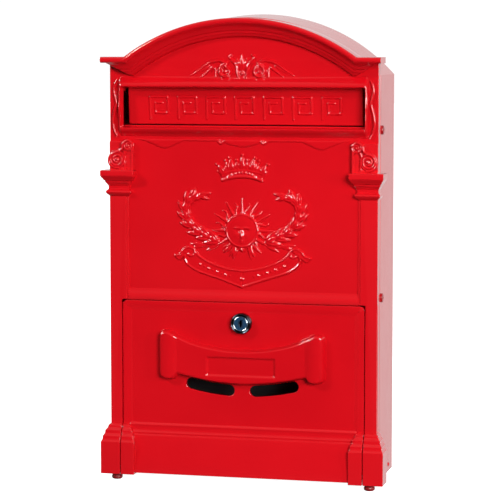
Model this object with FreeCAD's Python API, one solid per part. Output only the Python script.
"""Wall mailbox with a cast classical front: a letter slot with an inward flap, a drop-down door with a cam lock,
and a sheet-steel housing behind.

Millimetres. Built with z up from the underside of the plinth and y = 0 on the wall, front towards -Y, and moved at
the end so that the origin is the centre of the four wall holes on the back face.
"""
import FreeCAD, Part
import math
import os

V = FreeCAD.Vector
os.makedirs("parts", exist_ok=True)

# ---- driving dimensions -------------------------------------------------------------------------------------------
HALF_BODY = 122.0            # half width over the pilasters and the housing
HALF_WIDE = 129.3            # half width over capitals and plinth blocks
EAR_HALF = 126.8             # half width over the cornice's ears
APEX = 409.5                 # top of the front cornice
EAR_TOP, EAR_THICK = 375.3, 5.5
ARCH_HALF = 104.8            # where the arched bead meets the level ear
SHOULDER_X, SHOULDER_Z = 105.0, 371.0    # top corner of the casting's face, behind the ear
WALL_CENTRE_Z = 200.0        # height of the centre of the wall holes
WALL_HOLE_X, WALL_HOLE_Z, WALL_HOLE_R = 160.0, 280.0, 3.25

Y_BEAD = -93.0               # front of the cornice's bead
Y_FRONT = -88.0              # front of capitals and plinth
Y_CORNICE_BACK = -68.0
Y_PILASTER = -79.0
Y_PANEL = -77.0
CAST = 3.0                   # wall of the castings
SHEET = 1.2                  # wall of the steel sheets
Y_SEAM = -67.3               # back edge of the casting's outer wall
Y_WRAP = -67.0               # front edge of the steel wrap
Y_FLANGE = -52.0             # back edge of the casting's flange, which is inside the wrap
ROOF_R, ROOF_APEX = 167.0, 412.5

SLOT_HALF, SLOT_LOW, SLOT_HIGH = 110.5, 312.8, 348.3
Y_SURROUND, JAMB_OUT = -82.5, 114.0      # front of the frame round the slot, and its outer sides
Y_SILL_BACK, Y_LUG_BACK = -63.5, -60.0
Y_LIP_FRONT, Y_LIP_BACK, LIP_TALL = -71.0, -69.0, 1.6  # stop that the flap hangs behind
FLAP_HALF, FLAP_TILT = 107.0, 5.0
FLAP_AXIS_Y, FLAP_AXIS_Z, FLAP_ROD_R = -65.0, 350.8, 2.0

DOOR_HALF, DOOR_TOP, DOOR_CORNER = 110.5, 157.5, 4.5
SEAM_GAP = 0.7
Y_DOOR = -78.0
DOOR_RIM, DOOR_RIM_RISE = 6.0, 1.5
HINGE_Y, HINGE_Z, HINGE_PIN_R = -83.0, 7.0, 2.5
BLOCK_IN = 98.0              # inner side of the plinth blocks
SHAFT_IN = 104.5             # inner edge of the pilaster's shaft
BLOCK_TOP = 30.0             # top of the plinth block's lowest and widest step
STOP_GAP, STOP_THICK = 0.6, 2.0          # lips behind the door's edges
VIEW_R, VIEW_HALF, VIEW_LOW_Z = 200.0, 4.5, 79.05    # curved viewing slots: centre line and half height
VIEW_IN, VIEW_OUT = 12.0, 46.5

LOCK_Z, LOCK_BEZEL_R, LOCK_BARREL_R, LOCK_PLUG_R = 139.5, 9.3, 8.0, 6.0
CAM_LENGTH = 27.0
CAM_Y = -69.6
RUNNING = 0.05               # radial play of a turning fit

SCREW_Y, SCREW_HEIGHTS, SCREW_HEAD_R = -59.5, (15.5, 163.5, 311.5), 4.0
SCREW_HOLE_R, RIVET_HOLE_R = 1.6, 1.5
VENT_Y, VENT_Z, VENT_R = -62.0, 354.0, 2.5
FLOOR_FRONT = -63.5
RIVET_Y, RIVET_Z = (-19.0, -45.0), 7.0
FOOT_X, FOOT_Y, FOOT_R, FOOT_DROP = 116.0, -80.0, 5.0, 5.5

ARCH_R = (ARCH_HALF ** 2 + (APEX - EAR_TOP) ** 2) / (2 * (APEX - EAR_TOP))
ARCH_Z = APEX - ARCH_R       # centre of the cornice arch
ROOF_Z = ROOF_APEX - ROOF_R  # centre of the roof arch


# ---- small tools --------------------------------------------------------------------------------------------------
def box(x0, x1, y0, y1, z0, z1):
    """A block between two corners, given in any order."""
    x0, x1 = sorted((x0, x1))
    y0, y1 = sorted((y0, y1))
    z0, z1 = sorted((z0, z1))
    return Part.makeBox(x1 - x0, y1 - y0, z1 - z0, V(x0, y0, z0))


def cyl(axis, centre, radius, start, end):
    """A round bar along x, y or z, from start to end on that axis. centre holds the other two coordinates in order."""
    start, end = sorted((start, end))
    place = {"x": (start, *centre), "y": (centre[0], start, centre[1]), "z": (*centre, start)}[axis]
    way = {"x": V(1, 0, 0), "y": V(0, 1, 0), "z": V(0, 0, 1)}[axis]
    return Part.makeCylinder(radius, end - start, V(*place), way)


def outline(points, closed=True):
    """A wire in the XZ plane. A point ("arc", x, z) is a point that the arc to the next point passes through."""
    edges, k = [], 0
    points = list(points) + ([points[0]] if closed else [])
    while k < len(points) - 1:
        here = V(points[k][0], 0, points[k][1])
        if points[k + 1][0] == "arc":
            mid, there = points[k + 1], points[k + 2]
            edges.append(Part.Arc(here, V(mid[1], 0, mid[2]), V(there[0], 0, there[1])).toShape())
            k += 2
        else:
            edges.append(Part.LineSegment(here, V(points[k + 1][0], 0, points[k + 1][1])).toShape())
            k += 1
    return Part.Wire(edges)


def slab(points, y0, y1):
    """The outline of XZ points, solid between y0 and y1."""
    y0, y1 = sorted((y0, y1))
    face = Part.Face(outline(points))
    face.translate(V(0, y0, 0))
    return face.extrude(V(0, y1 - y0, 0))


def rail(points, x0, x1):
    """A moulding whose section is a list of (y, z) points, running along x."""
    wire = Part.makePolygon([V(x0, y, z) for y, z in points + points[:1]])
    return Part.Face(wire).extrude(V(x1 - x0, 0, 0))


def plain(shape):
    """A shape that holds one solid, as that solid."""
    return shape.Solids[0] if len(shape.Solids) == 1 else shape


def fuse(first, *others):
    """All the shapes as one, joined one after another."""
    whole = plain(first)
    for other in others:
        whole = plain(whole.fuse(plain(other)))
    return whole


def mirrored(shape):
    """The shape's twin on the other side of the middle."""
    return shape.mirror(V(0, 0, 0), V(1, 0, 0))


def both(shape):
    return [shape, mirrored(shape)]


def disc(radius, centre_z, y0, y1):
    """A large round body along y, centred on the middle line."""
    return cyl("y", (0, centre_z), radius, y0, y1)


# ---- front casting ------------------------------------------------------------------------------------------------
def cornice_layer(drop, y_front, end_x):
    """The part of the cornice within drop of its top line: arched in the middle, level under the ears, and
    ending on the slope that rises from end_x to the side of the casting."""
    radius, level = ARCH_R - drop, EAR_TOP - drop
    turn = math.sqrt(radius ** 2 - (level - ARCH_Z) ** 2)
    under_ear = EAR_TOP - EAR_THICK
    top, top_x = ARCH_R - 2, ARCH_HALF - 3.5
    top_z = ARCH_Z + math.sqrt(top ** 2 - top_x ** 2)
    return slab([(-turn, level), ("arc", 0, ARCH_Z + radius), (turn, level), (end_x, level),
                 (HALF_BODY, under_ear), (HALF_BODY, under_ear + 2), (top_x, top_z),
                 ("arc", 0, ARCH_Z + top), (-top_x, top_z), (-HALF_BODY, under_ear + 2),
                 (-HALF_BODY, under_ear), (-end_x, level)], y_front, Y_PANEL + 1)


def cornice():
    under_ear = EAR_TOP - EAR_THICK
    arch = disc(ARCH_R, ARCH_Z, Y_BEAD, Y_CORNICE_BACK).cut(
        disc(ARCH_R - EAR_THICK, ARCH_Z, Y_BEAD, Y_CORNICE_BACK))
    arch = arch.common(box(-ARCH_HALF - 4, ARCH_HALF + 4, Y_BEAD, Y_CORNICE_BACK, under_ear, APEX + 1))
    ears = []
    tip = EAR_HALF - EAR_THICK / 2
    for side in (-1, 1):
        ears.append(box(side * (ARCH_HALF - 3.5), side * tip, Y_BEAD, Y_CORNICE_BACK, under_ear, EAR_TOP))
        ears.append(cyl("y", (side * tip, EAR_TOP - EAR_THICK / 2), EAR_THICK / 2, Y_BEAD, Y_CORNICE_BACK))
    layers = [cornice_layer(8.5, -87.5, 115.5), cornice_layer(11.0, -83.5, 111.0),
              cornice_layer(14.0, -80.5, 106.0), cornice_layer(16.5, -79.0, 102.4)]
    return fuse(arch, *ears, *layers)


def arched(half, radius, z0, y0, y1):
    """A prism with a flat base at z0, upright sides, and the roof arch of that radius on top."""
    corner = ROOF_Z + math.sqrt(radius ** 2 - half ** 2)
    return slab([(-half, z0), (half, z0), (half, corner), ("arc", 0, ROOF_Z + radius), (-half, corner)], y0, y1)


def arched_tube(half, radius, wall, z0, y0, y1):
    """The same prism as a sleeve that is open below, in front and behind."""
    return arched(half, radius, z0, y0, y1).cut(arched(half - wall, radius - wall, z0 - 1, y0 - 1, y1 + 1))


def front_panel():
    """The face of the casting above the door, its outer walls, and the flange that goes inside the steel wrap."""
    top = [(HALF_BODY, SHOULDER_Z), (SHOULDER_X, SHOULDER_Z), ("arc", 0, APEX - 1), (-SHOULDER_X, SHOULDER_Z),
           (-HALF_BODY, SHOULDER_Z)]
    over_door = DOOR_TOP + SEAM_GAP
    face = slab([(-HALF_BODY, over_door), (HALF_BODY, over_door), *top], Y_PANEL, Y_PANEL + CAST)
    block = slab([(-HALF_BODY, 0), (HALF_BODY, 0), *top], Y_PANEL, Y_SEAM)
    inset = SHEET + 0.1
    inner = arched(HALF_BODY - inset - CAST, ROOF_R - inset - CAST, -1, Y_PANEL - 1, Y_FLANGE + 1)
    walls = block.cut(inner)
    walls = fuse(walls, *both(box(HALF_BODY - CAST, HALF_BODY, Y_PILASTER, Y_PANEL, 0, SHOULDER_Z)))
    flange = arched_tube(HALF_BODY - inset, ROOF_R - inset, CAST, 0, Y_PANEL + CAST, Y_FLANGE)
    return fuse(face, walls, flange)


def slot_surround():
    """Raised bevelled frame round the letter slot, its sill and head, and the lugs that carry the flap's rod."""
    low = rail([(Y_PANEL, 302.0), (-80.0, 303.5), (-80.0, 305.0), (-79.0, 306.0), (-81.0, 307.5),
                (Y_SURROUND, 310.0), (Y_SURROUND, SLOT_LOW), (Y_PANEL, SLOT_LOW)], -JAMB_OUT, JAMB_OUT)
    high = rail([(Y_PANEL, SLOT_HIGH), (Y_SURROUND, SLOT_HIGH), (Y_SURROUND, 352.0), (-80.0, 354.0),
                 (Y_PANEL, 355.5)], -JAMB_OUT, JAMB_OUT)
    jambs = both(box(SLOT_HALF, JAMB_OUT, Y_SURROUND, Y_PANEL, SLOT_LOW, SLOT_HIGH))
    ribbon = slab([(113.5, 355.0), ("arc", 118.2, 345.0), (115.2, 334.0), ("arc", 118.4, 319.0), (115.0, 305.0),
                   (113.0, 305.0)], -80.5, Y_PANEL)
    outer = SLOT_HALF + CAST
    sill = box(-outer, outer, Y_PANEL, Y_SILL_BACK, SLOT_LOW - CAST, SLOT_LOW)
    sill_lip = box(-SLOT_HALF, SLOT_HALF, Y_LIP_FRONT, Y_LIP_BACK, SLOT_LOW, SLOT_LOW + LIP_TALL)
    head = box(-outer, outer, Y_PANEL, Y_PANEL + 5.4, SLOT_HIGH, SLOT_HIGH + CAST)
    lugs = both(box(SLOT_HALF, outer, Y_PANEL + 1, Y_LUG_BACK, FLAP_AXIS_Z - 6.0, FLAP_AXIS_Z + 5.5))
    return fuse(low, high, *jambs, *both(ribbon), sill, sill_lip, head, *lugs)


def pilaster():
    """Right-hand pilaster above and beside the door, with its capital and the outer half of the plinth block."""
    edge, back = DOOR_HALF + SEAM_GAP, Y_CORNICE_BACK
    shaft = box(SHAFT_IN, HALF_BODY, Y_PILASTER, Y_PANEL + CAST, DOOR_TOP + SEAM_GAP, 300.0)
    stile = box(edge, HALF_BODY, Y_PILASTER, Y_PILASTER + CAST, 0, DOOR_TOP + SEAM_GAP + 1)
    out = HALF_BODY
    capital = [box(101.5, out + 3.0, -84.0, back, 252.5, 257.0), box(103.5, out + 1.5, -81.5, back - 1, 257.0, 261.5),
               box(101.0, out + 4.0, -85.0, back, 261.5, 265.5), box(97.5, HALF_WIDE, Y_FRONT, back, 265.5, 274.5)]
    block = [box(edge, HALF_WIDE, Y_FRONT, back, 0, BLOCK_TOP), box(edge, out + 5.5, -86.5, back, BLOCK_TOP, 35.0),
             box(edge, out + 4.0, -84.5, back - 0.5, 35.0, 40.0), box(edge, out + 1.8, -81.5, back - 1, 40.0, 45.0)]
    pin_hole = cyl("x", (HINGE_Y, HINGE_Z), HINGE_PIN_R + 0.01, edge, edge + 8)
    return fuse(shaft, stile, *capital, *block).cut(pin_hole)


def door_stops():
    """Lips behind the edges of the door, and the keeper that the lock's cam catches."""
    front, edge, over_door = Y_DOOR + CAST + STOP_GAP, DOOR_HALF + SEAM_GAP, DOOR_TOP + SEAM_GAP
    back, outer, low, high = front + STOP_THICK, edge + CAST, 22.0, 160.0
    parts = [box(-outer, outer, Y_PANEL, back, over_door, over_door + CAST),
             box(-outer, outer, front, back, DOOR_TOP - 3.5, over_door + CAST),
             box(-20.0, 20.0, Y_PANEL, CAM_Y - 0.6, over_door, 166.0)]
    for side in (-1, 1):
        parts.append(box(side * edge, side * outer, Y_PILASTER, back, low, high))
        parts.append(box(side * (edge - 6.7), side * outer, front, back, low, high))
    return fuse(*parts)


def panel_moulding():
    """The ridge over the door, between the pilasters."""
    return rail([(Y_PANEL, DOOR_TOP + SEAM_GAP), (-79.5, DOOR_TOP + SEAM_GAP), (-80.5, 161.5), (-80.5, 163.5),
                 (-79.0, 166.0), (Y_PANEL, 167.0)], -SHAFT_IN, SHAFT_IN)


def front_frame():
    solid = fuse(front_panel(), cornice(), slot_surround(), door_stops(), panel_moulding(), *both(pilaster()))
    solid = solid.cut(box(-SLOT_HALF, SLOT_HALF, -90, Y_PANEL + CAST + 1, SLOT_LOW, SLOT_HIGH))
    for side in (-1, 1):
        for z in SCREW_HEIGHTS:
            solid = solid.cut(cyl("x", (SCREW_Y, z), SCREW_HOLE_R, side * 112, side * 125))
    rod_hole = cyl("x", (FLAP_AXIS_Y, FLAP_AXIS_Z), FLAP_ROD_R + 0.02, -115, 115)
    return solid.cut(rod_hole)


# ---- cast-on ornament ---------------------------------------------------------------------------------------------
def leaf(x, z, angle, length, width, y0, y1):
    """A pointed leaf from (x, z), pointing along angle, in degrees from +x."""
    a = math.radians(angle)
    along, across = V(math.cos(a), 0, math.sin(a)), V(-math.sin(a), 0, math.cos(a))
    root, tip = V(x, 0, z), V(x, 0, z) + along * length
    mid = V(x, 0, z) + along * (length * 0.45)
    a_side, b_side = mid + across * (width / 2), mid - across * (width / 2)
    edges = [Part.Arc(root, a_side, tip).toShape(), Part.Arc(tip, b_side, root).toShape()]
    face = Part.Face(Part.Wire(edges))
    face.translate(V(0, min(y0, y1), 0))
    return face.extrude(V(0, abs(y1 - y0), 0))


def band(centre_x, centre_z, r_in, r_out, start, end, y0, y1):
    """An arc-shaped strip between two angles, in degrees from +x."""
    def at(radius, angle):
        a = math.radians(angle)
        return centre_x + radius * math.cos(a), centre_z + radius * math.sin(a)
    mid = (start + end) / 2
    return slab([at(r_in, start), ("arc", *at(r_in, mid)), at(r_in, end), at(r_out, end),
                 ("arc", *at(r_out, mid)), at(r_out, start)], y0, y1)


def pediment_ornament():
    """Two volutes with leaf sprays and a palmette between them, on the field under the arch."""
    low, high = Y_PANEL, Y_PANEL - 2.5
    parts = [slab([(-24.0, 357.0), (24.0, 357.0), (20.0, 368.0), ("arc", 0, 371.0), (-20.0, 368.0)], low, low - 1.2)]
    for side in (-1, 1):
        volute = cyl("y", (side * 15.0, 362.0), 6.2, low, high - 1.5).cut(
            cyl("y", (side * 15.0, 362.0), 3.6, high - 0.3, high - 1.6))
        parts += [volute, cyl("y", (side * 15.0, 362.0), 1.9, low, high - 2)]
        parts.append(leaf(side * 22.0, 362.0, 90 - side * 77, 23.0, 6.0, low, high))
        parts.append(leaf(side * 19.0, 367.0, 90 - side * 98, 24.0, 6.5, low, high + 0.4))
    for angle in (30, 60, 90, 120, 150):
        parts.append(leaf(0, 364.0, angle, 13.0, 5.0, low, high - 0.3))
    return fuse(*parts)


def slot_apron():
    """Low shaped apron under the slot frame."""
    side = [(17.0, 302.2), (17.0, 299.0), (21.0, 301.0), (54.0, 300.8), ("arc", 71.0, 293.5), (88.0, 300.8),
            (100.0, 302.2)]
    drop = slab([(-17.0, 302.2), (-17.0, 299.0), ("arc", 0, 295.5), (17.0, 299.0), (17.0, 302.2)], Y_PANEL, -78.2)
    wing = slab(side, Y_PANEL, -78.2)
    return fuse(drop, *both(wing)).cut(box(-120, 120, -90, -70, 301.9, 303))


def capital_scroll():
    """The scroll that stands on the right-hand abacus: a large volute low outside, a small one high inside."""
    y0, y1 = Y_PILASTER, -84.5
    base = 274.6
    parts = [cyl("y", (114.0, 284.0), 8.0, y0, y1), cyl("y", (103.0, 296.0), 5.0, y0, y1 + 0.7),
             slab([(99.0, base), (108.0, base), (109.0, 290.0), (106.0, 299.0), (99.0, 299.0)], y0, -82.0),
             slab([(106.0, base), (120.0, base), (121.5, 283.0), ("arc", 117.0, 292.0), (107.0, 299.0),
                   (101.0, 292.0), ("arc", 105.5, 289.5), (107.0, 283.0)], y0, -83.0)]
    solid = fuse(*parts).cut(box(90, 130, -90, -70, 270, base))
    return solid.cut(cyl("y", (114.0, 284.0), 5.2, y1, y1 + 1.2).cut(cyl("y", (114.0, 284.0), 2.4, y1, y1 + 1.2)))


def emblem_crown():
    low = Y_PANEL
    parts = [band(0, 225.0, 41.5, 48.5, 68, 112, low, -79.8)]
    for angle in (70, 79.5, 90, 100.5, 110):
        a = math.radians(angle)
        x, z = 47.5 * math.cos(a), 225 + 47.5 * math.sin(a)
        parts.append(leaf(x, z, 90 + (angle - 90) * 1.9, 17.0, 8.5, low, -79.2))
        bead = 65.5
        parts.append(cyl("y", (bead * math.cos(a) * 1.22, 225 + bead * math.sin(a)), 1.8, low, -80.2))
    return fuse(*parts)


def emblem_wreath():
    """Right-hand laurel branch: leaves in pairs along a curved stem."""
    low = Y_PANEL
    centre_x, centre_z, radius = 29.0, 233.0, 24.5
    parts = [band(centre_x, centre_z, radius - 0.9, radius + 0.9, -104, 62, low, -79.3)]
    for k in range(9):
        at = -96 + k * 18.5
        a = math.radians(at)
        x, z = centre_x + radius * math.cos(a), centre_z + radius * math.sin(a)
        parts.append(leaf(x, z, at + 90 - 30, 11.5, 4.6, low, -79.0))
        parts.append(leaf(x, z, at + 90 + 30, 11.5, 4.6, low, -79.0))
    return fuse(*parts)


def emblem_sun():
    low = Y_PANEL
    dome = Part.makeSphere(27.0, V(0, low + 22.0, 222.0)).common(box(-30, 30, low - 10, low, 190, 250))
    parts = [dome]
    for k in range(20):
        angle = 9 + k * 18
        reach = 26.0 if k % 2 else 22.5
        a = math.radians(angle)
        parts.append(leaf(12 * math.cos(a), 222 + 12 * math.sin(a), angle, reach - 12, 5.0, low, low - 1.8))
    return fuse(*parts)


def emblem_ribbon():
    low = Y_PANEL
    swag = slab([(0, 171.5), ("arc", 28.0, 178.5), (51.0, 192.0), (45.0, 205.0), ("arc", 25.0, 193.0), (0, 187.0),
                 ("arc", -25.0, 193.0), (-45.0, 205.0), (-51.0, 192.0), ("arc", -28.0, 178.5)], low, -78.8)
    tail = slab([(46.0, 203.0), (51.0, 193.0), ("arc", 56.0, 193.5), (60.5, 199.0), ("arc", 56.5, 200.0),
                 (53.0, 205.5), ("arc", 49.0, 207.5)], low, -79.8)
    knobs = [cyl("y", (side * (13 + 7.5 * k), 182.0 + 0.055 * (7.5 * k) ** 1.5), 1.5, low, -79.8)
             for side in (-1, 1) for k in range(4)]
    return fuse(swag, *both(tail), *knobs)


# ---- sheet-steel housing ------------------------------------------------------------------------------------------
def housing_wrap():
    """Sides and roof bent from one sheet, over the casting's flange."""
    solid = arched_tube(HALF_BODY, ROOF_R, SHEET, 0.5, Y_WRAP, 0)
    for side in (-1, 1):
        x0, x1 = side * (HALF_BODY - 4), side * (HALF_BODY + 1)
        for z in SCREW_HEIGHTS:
            solid = solid.cut(cyl("x", (SCREW_Y, z), SCREW_HOLE_R, x0, x1))
        for y in RIVET_Y:
            solid = solid.cut(cyl("x", (y, RIVET_Z), RIVET_HOLE_R, x0, x1))
        solid = solid.cut(cyl("x", (VENT_Y, VENT_Z), VENT_R, x0, x1))
    return solid


def back_panel():
    """Flat back with flanges turned forward inside the wrap, and the four wall holes."""
    gap = SHEET + 0.1
    plate = arched(HALF_BODY - gap, ROOF_R - gap, 1.9, -SHEET, 0)
    flanges = both(box(HALF_BODY - gap - SHEET, HALF_BODY - gap, -13.0, -SHEET, 16.0, 350.0))
    solid = fuse(plate, *flanges)
    for x in (-WALL_HOLE_X / 2, WALL_HOLE_X / 2):
        for z in (-WALL_HOLE_Z / 2, WALL_HOLE_Z / 2):
            solid = solid.cut(cyl("y", (x, WALL_CENTRE_Z + z), WALL_HOLE_R, -5, 5))
    return solid


def floor_panel():
    gap = SHEET + 0.1
    plate = box(-(HALF_BODY - gap), HALF_BODY - gap, Y_FLANGE + 0.1, -0.1, 0.5, 0.5 + SHEET)
    tongue = box(-116.0, 116.0, FLOOR_FRONT, Y_FLANGE + 0.1, 0.5, 0.5 + SHEET)
    lip = box(-116.0, 116.0, FLOOR_FRONT, FLOOR_FRONT + SHEET, 0.5, 12.0)
    flanges = both(box(HALF_BODY - gap - SHEET, HALF_BODY - gap, -50.0, -6.0, 0.5, 13.0))
    solid = fuse(plate, tongue, lip, *flanges)
    for side in (-1, 1):
        for y in RIVET_Y:
            solid = solid.cut(cyl("x", (y, RIVET_Z), RIVET_HOLE_R, side * 117, side * 122))
    return solid


def floor_rivets():
    """Dome-head rivets through the wrap and the floor's flanges."""
    parts = []
    for y in RIVET_Y:
        shank = cyl("x", (y, RIVET_Z), 1.48, HALF_BODY - SHEET * 2 - 1.5, HALF_BODY)
        head = Part.makeSphere(3.2, V(HALF_BODY - 2.2, y, RIVET_Z)).common(
            box(HALF_BODY, HALF_BODY + 3, y - 4, y + 4, RIVET_Z - 4, RIVET_Z + 4))
        parts += both(fuse(shank, head))
    return Part.makeCompound(parts)


def side_screws(side):
    """Pan-head screws through the wrap into the casting's flange."""
    parts, rise, cut = [], 1.6, 0.5
    for z in SCREW_HEIGHTS:
        shank = cyl("x", (SCREW_Y, z), 1.55, 112.0, HALF_BODY)
        head = cyl("x", (SCREW_Y, z), SCREW_HEAD_R, HALF_BODY, HALF_BODY + rise)
        head = head.makeFillet(0.9, [e for e in head.Edges if e.Vertexes[0].Point.x > HALF_BODY + rise - 0.1
                                     and len(e.Vertexes) == 1])
        x0, x1 = HALF_BODY + rise - 0.9, HALF_BODY + rise + 1
        cross = [box(x0, x1, SCREW_Y - cut, SCREW_Y + cut, z - 2.4, z + 2.4),
                 box(x0, x1, SCREW_Y - 2.4, SCREW_Y + 2.4, z - cut, z + cut)]
        screw = fuse(shank, head).cut(cross[0]).cut(cross[1])
        parts.append(screw if side > 0 else mirrored(screw))
    return Part.makeCompound(parts)


def foot(side):
    """Small round stud under the plinth block."""
    solid = cyl("z", (side * FOOT_X, FOOT_Y), FOOT_R, -FOOT_DROP, 0)
    rim = [e for e in solid.Edges if len(e.Vertexes) == 1 and e.Vertexes[0].Point.z < -FOOT_DROP + 0.1]
    return solid.makeFillet(1.6, rim)


# ---- letter flap --------------------------------------------------------------------------------------------------
PLATE_FRONT, PLATE_THICK = -5.8, 2.5      # flap plate, measured from the hinge axis before it is tilted
PLATE_TOP, PLATE_LOW = -2.2, -35.4


def tilted(shape):
    """From upright, about the flap's axis at the origin, to where the flap hangs."""
    shape.rotate(V(0, 0, 0), V(1, 0, 0), FLAP_TILT)
    shape.translate(V(0, FLAP_AXIS_Y, FLAP_AXIS_Z))
    return shape


def slot_flap():
    plate = box(-FLAP_HALF, FLAP_HALF, PLATE_FRONT, PLATE_FRONT + PLATE_THICK, PLATE_LOW, PLATE_TOP)
    parts = [plate]
    for side in (-1, 1):
        x0, x1 = side * 78.0, side * 102.0
        parts.append(cyl("x", (0, 0), 3.6, x0, x1))
        parts.append(box(x0, x1, PLATE_FRONT, 0, -3.6, 0))
    solid = fuse(*parts).cut(cyl("x", (0, 0), FLAP_ROD_R + RUNNING, -FLAP_HALF, FLAP_HALF))
    return tilted(solid)


KEY_PITCH, KEY_WIDE, KEY_TALL, KEY_DROP = 26.2, 19.0, 22.0, 1.6
KEY_STROKE, KEY_STEP, KEY_RISE = 2.8, 4.6, 1.0


def flap_frieze():
    """Seven square key scrolls standing on the face of the flap."""
    mid, units = (PLATE_LOW + PLATE_TOP) / 2 - KEY_DROP, []
    y0, y1 = PLATE_FRONT - KEY_RISE, PLATE_FRONT
    z0, z1 = mid - KEY_TALL / 2, mid + KEY_TALL / 2
    inner_z = z0 + KEY_STEP                  # underside of the inner turn
    for k in range(-3, 4):
        x0, x1 = k * KEY_PITCH - KEY_WIDE / 2, k * KEY_PITCH + KEY_WIDE / 2
        inner_x = x0 + 2 * KEY_STROKE        # left side of the inner turn
        strokes = [box(x0, x0 + KEY_STROKE, y0, y1, z0, z1), box(x0, x1, y0, y1, z1 - KEY_STROKE, z1),
                   box(x1 - KEY_STROKE, x1, y0, y1, inner_z, z1),
                   box(inner_x, x1, y0, y1, inner_z, inner_z + KEY_STROKE),
                   box(inner_x, inner_x + KEY_STROKE, y0, y1, inner_z, z1 - KEY_STEP - 1.6)]
        units.append(tilted(fuse(*strokes)))
    return Part.makeCompound(units)


def flap_rod():
    return cyl("x", (FLAP_AXIS_Y, FLAP_AXIS_Z), FLAP_ROD_R, -116.2, 116.2)


def rod_clips():
    """Snap rings on both ends of the rod, outside the tunnel walls."""
    clip = cyl("x", (FLAP_AXIS_Y, FLAP_AXIS_Z), 4.2, 113.7, 114.6).cut(
        cyl("x", (FLAP_AXIS_Y, FLAP_AXIS_Z), FLAP_ROD_R + 0.01, 113, 116))
    clip = clip.cut(box(113, 116, FLAP_AXIS_Y - 1.4, FLAP_AXIS_Y + 1.4, FLAP_AXIS_Z, FLAP_AXIS_Z + 6))
    return Part.makeCompound(both(clip))


# ---- door ---------------------------------------------------------------------------------------------------------
def rounded_top(half, z0, z1, radius, y0, y1):
    """A plate with its two top corners rounded."""
    k = radius * (1 - math.sqrt(0.5))
    return slab([(-half, z0), (half, z0), (half, z1 - radius), ("arc", half - k, z1 - k), (half - radius, z1),
                 (-half + radius, z1), ("arc", -half + k, z1 - k), (-half, z1 - radius)], y0, y1)


def view_slot():
    """The right-hand curved viewing slot, cut through the door."""
    centre_z = VIEW_LOW_Z + VIEW_R
    ends = [math.degrees(math.asin(x / VIEW_R)) - 90 for x in (VIEW_IN, VIEW_OUT)]
    parts = [band(0, centre_z, VIEW_R - VIEW_HALF, VIEW_R + VIEW_HALF, *ends, -95, -70)]
    for angle in ends:
        a = math.radians(angle)
        parts.append(cyl("y", (VIEW_R * math.cos(a), centre_z + VIEW_R * math.sin(a)), VIEW_HALF, -95, -70))
    return fuse(*parts)


def door():
    plate = rounded_top(DOOR_HALF, 30.0, DOOR_TOP, DOOR_CORNER, Y_DOOR, Y_DOOR + CAST)
    rim = rounded_top(DOOR_HALF, 44.0, DOOR_TOP, DOOR_CORNER, Y_DOOR - DOOR_RIM_RISE, Y_DOOR).cut(
        rounded_top(DOOR_HALF - DOOR_RIM, 30.0, DOOR_TOP - DOOR_RIM, 1.5, Y_DOOR - DOOR_RIM_RISE, Y_DOOR))
    skirt = rail([(-78.0, 46.0), (-81.5, 44.0), (-82.3, 42.0), (-81.5, 40.0), (-80.5, 38.8), (-80.5, 36.8),
                  (-86.5, 35.8), (-87.5, 34.5), (-86.5, 33.0), (-86.0, 32.0), (-86.0, 0.0), (-83.0, 0.0),
                  (-83.0, 30.0), (-77.5, 33.5), (-75.0, 37.0), (-75.0, 46.0)], -DOOR_HALF, DOOR_HALF)
    parts = [plate, rim, skirt]
    for side in (-1, 1):
        x0, x1 = side * BLOCK_IN, side * DOOR_HALF
        parts += [box(x0, x1, Y_FRONT, -82.0, 0, BLOCK_TOP), box(side * 99.5, x1, -86.5, -77.0, BLOCK_TOP, 35.0),
                  box(side * 101.0, x1, -84.5, -77.0, 35.0, 40.0), box(side * 103.0, x1, -81.5, -77.0, 40.0, 45.0),
                  box(x0, x1, Y_FRONT, HINGE_Y + 7.0, 0, 14.5)]
    solid = fuse(*parts)
    for side in (-1, 1):
        solid = solid.cut(cyl("x", (HINGE_Y, HINGE_Z), HINGE_PIN_R + RUNNING, side * 101.0, side * 111.0))
        solid = solid.cut(view_slot() if side > 0 else mirrored(view_slot()))
    return solid.cut(cyl("y", (0, LOCK_Z), LOCK_BARREL_R + 0.02, -95, -70))


def hinge_pin(side):
    return cyl("x", (HINGE_Y, HINGE_Z), HINGE_PIN_R, side * 102.0, side * (DOOR_HALF + SEAM_GAP + 7.5))


def door_banner():
    """Scroll banner cast on the door, used as its pull: a swag with two rolled ends and a name field."""
    y0, y1 = Y_DOOR, -85.0
    swag = slab([(-62.0, 94.0), ("arc", 0, 83.5), (62.0, 94.0), (62.0, 128.0), ("arc", 36.0, 117.2), (0, 112.5),
                 ("arc", -36.0, 117.2), (-62.0, 128.0)], y0, y1)
    field = box(-31.5, 31.5, y1, y1 + 1.0, 91.5, 107.5)
    rolls = []
    for side in (-1, 1):
        roll = cyl("z", (side * 67.5, -80.5), 7.5, 90.0, 130.0)
        ends = [Part.makeSphere(7.5, V(side * 67.5, -80.5, 92.5)), roll]
        rolls.append(fuse(*ends).common(box(-100, 100, -95, y0, 86.0, 131.0)))
    return fuse(swag.cut(field), *rolls)


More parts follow.
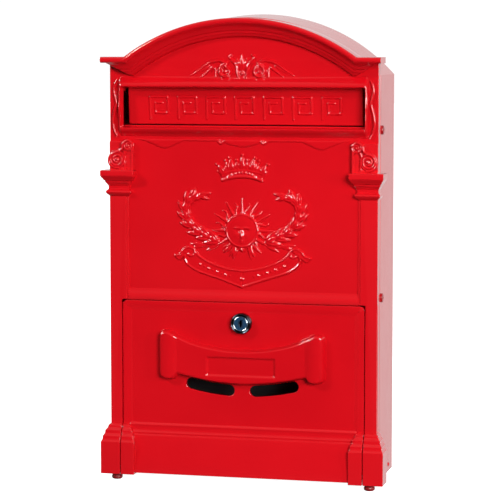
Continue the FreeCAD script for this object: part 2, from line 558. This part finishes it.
# ---- lock ---------------------------------------------------------------------------------------------------------
def lock_body():
    """Threaded barrel with a raised round bezel in front."""
    bezel = cyl("y", (0, LOCK_Z), LOCK_BEZEL_R, -84.5, Y_DOOR)
    front = [e for e in bezel.Edges if len(e.Vertexes) == 1 and e.Vertexes[0].Point.y < -84.4]
    bezel = bezel.makeChamfer(0.8, front)
    barrel = cyl("y", (0, LOCK_Z), LOCK_BARREL_R, Y_DOOR, -70.0)
    solid = fuse(bezel, barrel).cut(cyl("y", (0, LOCK_Z), 8.0, -85, -83.9))
    solid = solid.cut(cyl("y", (0, LOCK_Z), LOCK_PLUG_R + RUNNING, -86, -69))
    return solid.cut(cyl("y", (0, LOCK_Z), LOCK_PLUG_R + 0.6 + RUNNING, -86, -82.2))


def lock_plug():
    """Turning plug with an upright keyway, and a flatted tail that carries the cam."""
    plug = fuse(cyl("y", (0, LOCK_Z), LOCK_PLUG_R + 0.6, -84.2, -82.4), cyl("y", (0, LOCK_Z), LOCK_PLUG_R, -82.4, CAM_Y))
    tail = cyl("y", (0, LOCK_Z), 4.0, CAM_Y, CAM_Y + 1.8).common(
        box(-4, 4, CAM_Y, CAM_Y + 1.8, LOCK_Z - 3.0, LOCK_Z + 3.0))
    keyway = fuse(box(-0.8, 0.8, -85, -74, LOCK_Z - 3.4, LOCK_Z + 3.4), cyl("y", (0, LOCK_Z), 1.5, -85, -74))
    return fuse(plug, tail).cut(keyway).cut(cyl("y", (0, LOCK_Z), 1.6, -73.0, CAM_Y + 2))


def lock_washer():
    return cyl("y", (0, LOCK_Z), 11.5, -75.0, -74.0).cut(cyl("y", (0, LOCK_Z), LOCK_BARREL_R + 0.05, -76, -73))


def lock_nut():
    """Thin hexagonal nut, flats 21 mm apart."""
    corner = 10.5 / math.cos(math.radians(30))
    points = [(corner * math.cos(math.radians(60 * k)), LOCK_Z + corner * math.sin(math.radians(60 * k)))
              for k in range(6)]
    return slab(points, -74.0, -70.4).cut(cyl("y", (0, LOCK_Z), LOCK_BARREL_R + 0.02, -76, -69))


def lock_cam():
    """Flat cam, lying to the right when the door is free and upright behind the keeper when it is locked."""
    y0, y1 = CAM_Y, CAM_Y + 1.8
    plate = slab([(0, LOCK_Z - 7.0), (16.0, LOCK_Z - 5.0), (CAM_LENGTH, LOCK_Z - 5.0), (CAM_LENGTH, LOCK_Z + 5.0),
                  (16.0, LOCK_Z + 5.0), (0, LOCK_Z + 7.0), ("arc", -7.0, LOCK_Z)], y0, y1)
    hole = cyl("y", (0, LOCK_Z), 4.02, y0 - 1, y1 + 1).common(
        box(-5, 5, y0 - 1, y1 + 1, LOCK_Z - 3.02, LOCK_Z + 3.02))
    return plate.cut(hole)


def cam_screw():
    head_y = CAM_Y + 1.8
    head = cyl("y", (0, LOCK_Z), 5.0, head_y, head_y + 2.4)
    slot = box(-5, 5, head_y + 1.4, head_y + 3, LOCK_Z - 0.5, LOCK_Z + 0.5)
    return fuse(head.cut(slot), cyl("y", (0, LOCK_Z), 1.58, -72.5, head_y))


# ---- write the parts ----------------------------------------------------------------------------------------------
def all_parts():
    return {
        "front_frame": front_frame(),
        "housing_wrap": housing_wrap(),
        "back_panel": back_panel(),
        "floor_panel": floor_panel(),
        "floor_rivets": floor_rivets(),
        "side_screws_left": side_screws(-1),
        "side_screws_right": side_screws(1),
        "foot_left": foot(-1),
        "foot_right": foot(1),
        "pediment_ornament": pediment_ornament(),
        "slot_apron": slot_apron(),
        "capital_scroll_left": mirrored(capital_scroll()),
        "capital_scroll_right": capital_scroll(),
        "emblem_crown": emblem_crown(),
        "emblem_wreath_left": mirrored(emblem_wreath()),
        "emblem_wreath_right": emblem_wreath(),
        "emblem_sun": emblem_sun(),
        "emblem_ribbon": emblem_ribbon(),
        "slot_flap": slot_flap(),
        "flap_frieze": flap_frieze(),
        "flap_rod": flap_rod(),
        "flap_rod_clips": rod_clips(),
        "door": door(),
        "door_banner": door_banner(),
        "hinge_pin_left": hinge_pin(-1),
        "hinge_pin_right": hinge_pin(1),
        "lock_body": lock_body(),
        "lock_washer": lock_washer(),
        "lock_nut": lock_nut(),
        "lock_plug": lock_plug(),
        "lock_cam": lock_cam(),
        "lock_cam_screw": cam_screw(),
    }


for name, shape in all_parts().items():
    shape = shape.copy()
    shape.translate(V(0, 0, -WALL_CENTRE_Z))
    shape.exportStep("parts/" + name + ".step")
    size = shape.BoundBox
    print(f"{name:22s} solids {len(shape.Solids)}  valid {shape.isValid()}  volume {shape.Volume / 1000:8.2f} cm3  "
          f"{size.XLength:.1f} x {size.YLength:.1f} x {size.ZLength:.1f}")
